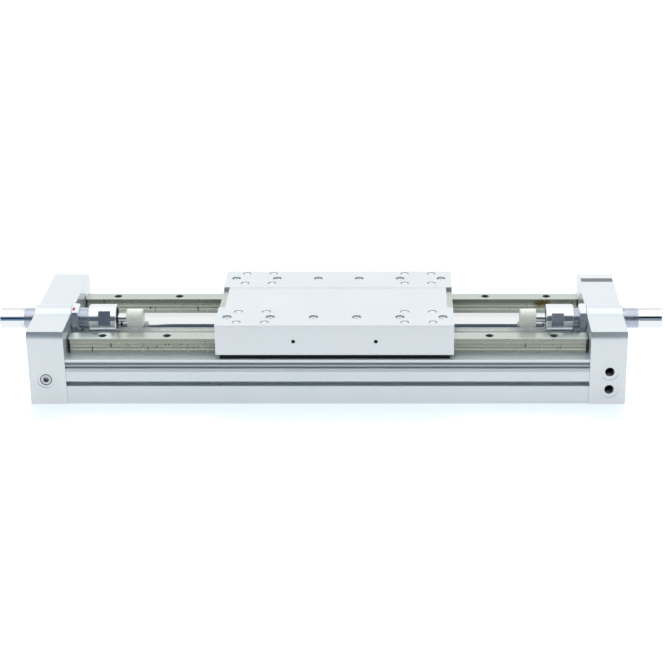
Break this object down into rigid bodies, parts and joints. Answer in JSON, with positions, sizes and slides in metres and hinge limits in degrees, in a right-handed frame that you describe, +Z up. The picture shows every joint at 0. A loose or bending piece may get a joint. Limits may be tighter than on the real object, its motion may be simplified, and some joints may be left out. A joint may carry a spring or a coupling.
{
  "type": "pneumatic linear drive",
  "caption": "Rodless pneumatic linear drive with a wide tapped table that runs on profile rails over a magnet-coupled cylinder tube and stops against screw-in shock absorbers.",
  "frame": {"origin": "on the floor under the middle of the base extrusion, centred between the rails", "axes": "+X along the stroke towards the end plate with the air ports, +Z up, -Y the side with the ports"},
  "size_m": [0.6235, 0.152, 0.0776],
  "materials": {
    "anodised_aluminium": "satin, clear anodised",
    "plain_aluminium": "machined",
    "polished_tube": "polished stainless steel",
    "bearing_steel": "ground, lightly oiled",
    "black_plastic": "moulded",
    "hardened_steel": "ground",
    "plated_steel": "bright zinc plate",
    "ivory_plastic": "moulded",
    "screw_steel": "plated",
    "magnet": "sintered, plated",
    "pole_steel": "turned",
    "rubber": "matt",
    "bearing_plastic": "filled, turned"
  },
  "bodies": {
    "base": {"base_profile": "anodised_aluminium", "cylinder_tube": "polished_tube", "end_plate_left": "anodised_aluminium", "end_plate_right": "anodised_aluminium", "lock_nut_left": "plated_steel", "lock_nut_right": "plated_steel", "plate_screws_left": "screw_steel", "plate_screws_right": "screw_steel", "port_plug": "screw_steel", "rail_back": "bearing_steel", "rail_front": "bearing_steel", "rail_screws_back": "screw_steel", "rail_screws_front": "screw_steel", "shock_body_left": "plated_steel", "shock_body_right": "plated_steel", "stop_sleeve_left": "plated_steel", "stop_sleeve_right": "plated_steel", "tube_seal_left": "rubber", "tube_seal_right": "rubber"},
    "carriage": {"runner_back_left": "bearing_steel", "runner_back_right": "bearing_steel", "runner_caps_back_left": "black_plastic", "runner_caps_back_right": "black_plastic", "runner_caps_front_left": "black_plastic", "runner_caps_front_right": "black_plastic", "runner_front_left": "bearing_steel", "runner_front_right": "bearing_steel", "slider_block": "plain_aluminium", "slider_magnets": "magnet", "slider_poles": "pole_steel", "slider_screws": "screw_steel", "stop_plate_left": "hardened_steel", "stop_plate_right": "hardened_steel", "stop_screws_left": "screw_steel", "stop_screws_right": "screw_steel", "table": "anodised_aluminium", "table_screws": "screw_steel", "wear_ring_left": "bearing_plastic", "wear_ring_right": "bearing_plastic", "wiper_left": "rubber", "wiper_right": "rubber"},
    "piston": {"bumper_left": "rubber", "bumper_right": "rubber", "guide_ring_left": "bearing_plastic", "guide_ring_right": "bearing_plastic", "piston_head_left": "plain_aluminium", "piston_head_right": "plain_aluminium", "piston_magnets": "magnet", "piston_nut": "screw_steel", "piston_poles": "pole_steel", "piston_seal_left": "rubber", "piston_seal_right": "rubber", "piston_shaft": "screw_steel"},
    "plunger_left": {"shock_nose_left": "ivory_plastic", "shock_rod_left": "plated_steel"},
    "plunger_right": {"shock_nose_right": "ivory_plastic", "shock_rod_right": "plated_steel"}
  },
  "joints": [
    {"name": "table_slide", "type": "slide", "parent": "base", "child": "carriage", "axis": [1, 0, 0], "range_m": [-0.0717, 0.0626]},
    {"name": "piston_slide", "type": "slide", "parent": "base", "child": "piston", "axis": [1, 0, 0], "range_m": [-0.0717, 0.0626]},
    {"name": "shock_left", "type": "slide", "parent": "base", "child": "plunger_left", "axis": [-1, 0, 0], "range_m": [0, 0.024], "stiffness_N_per_m": 400, "springref_m": -0.01},
    {"name": "shock_right", "type": "slide", "parent": "base", "child": "plunger_right", "axis": [1, 0, 0], "range_m": [0, 0.024], "stiffness_N_per_m": 400, "springref_m": -0.01}
  ],
  "couplings": [
    {"joint": "piston_slide", "follows": "table_slide", "ratio": 1}
  ]
}
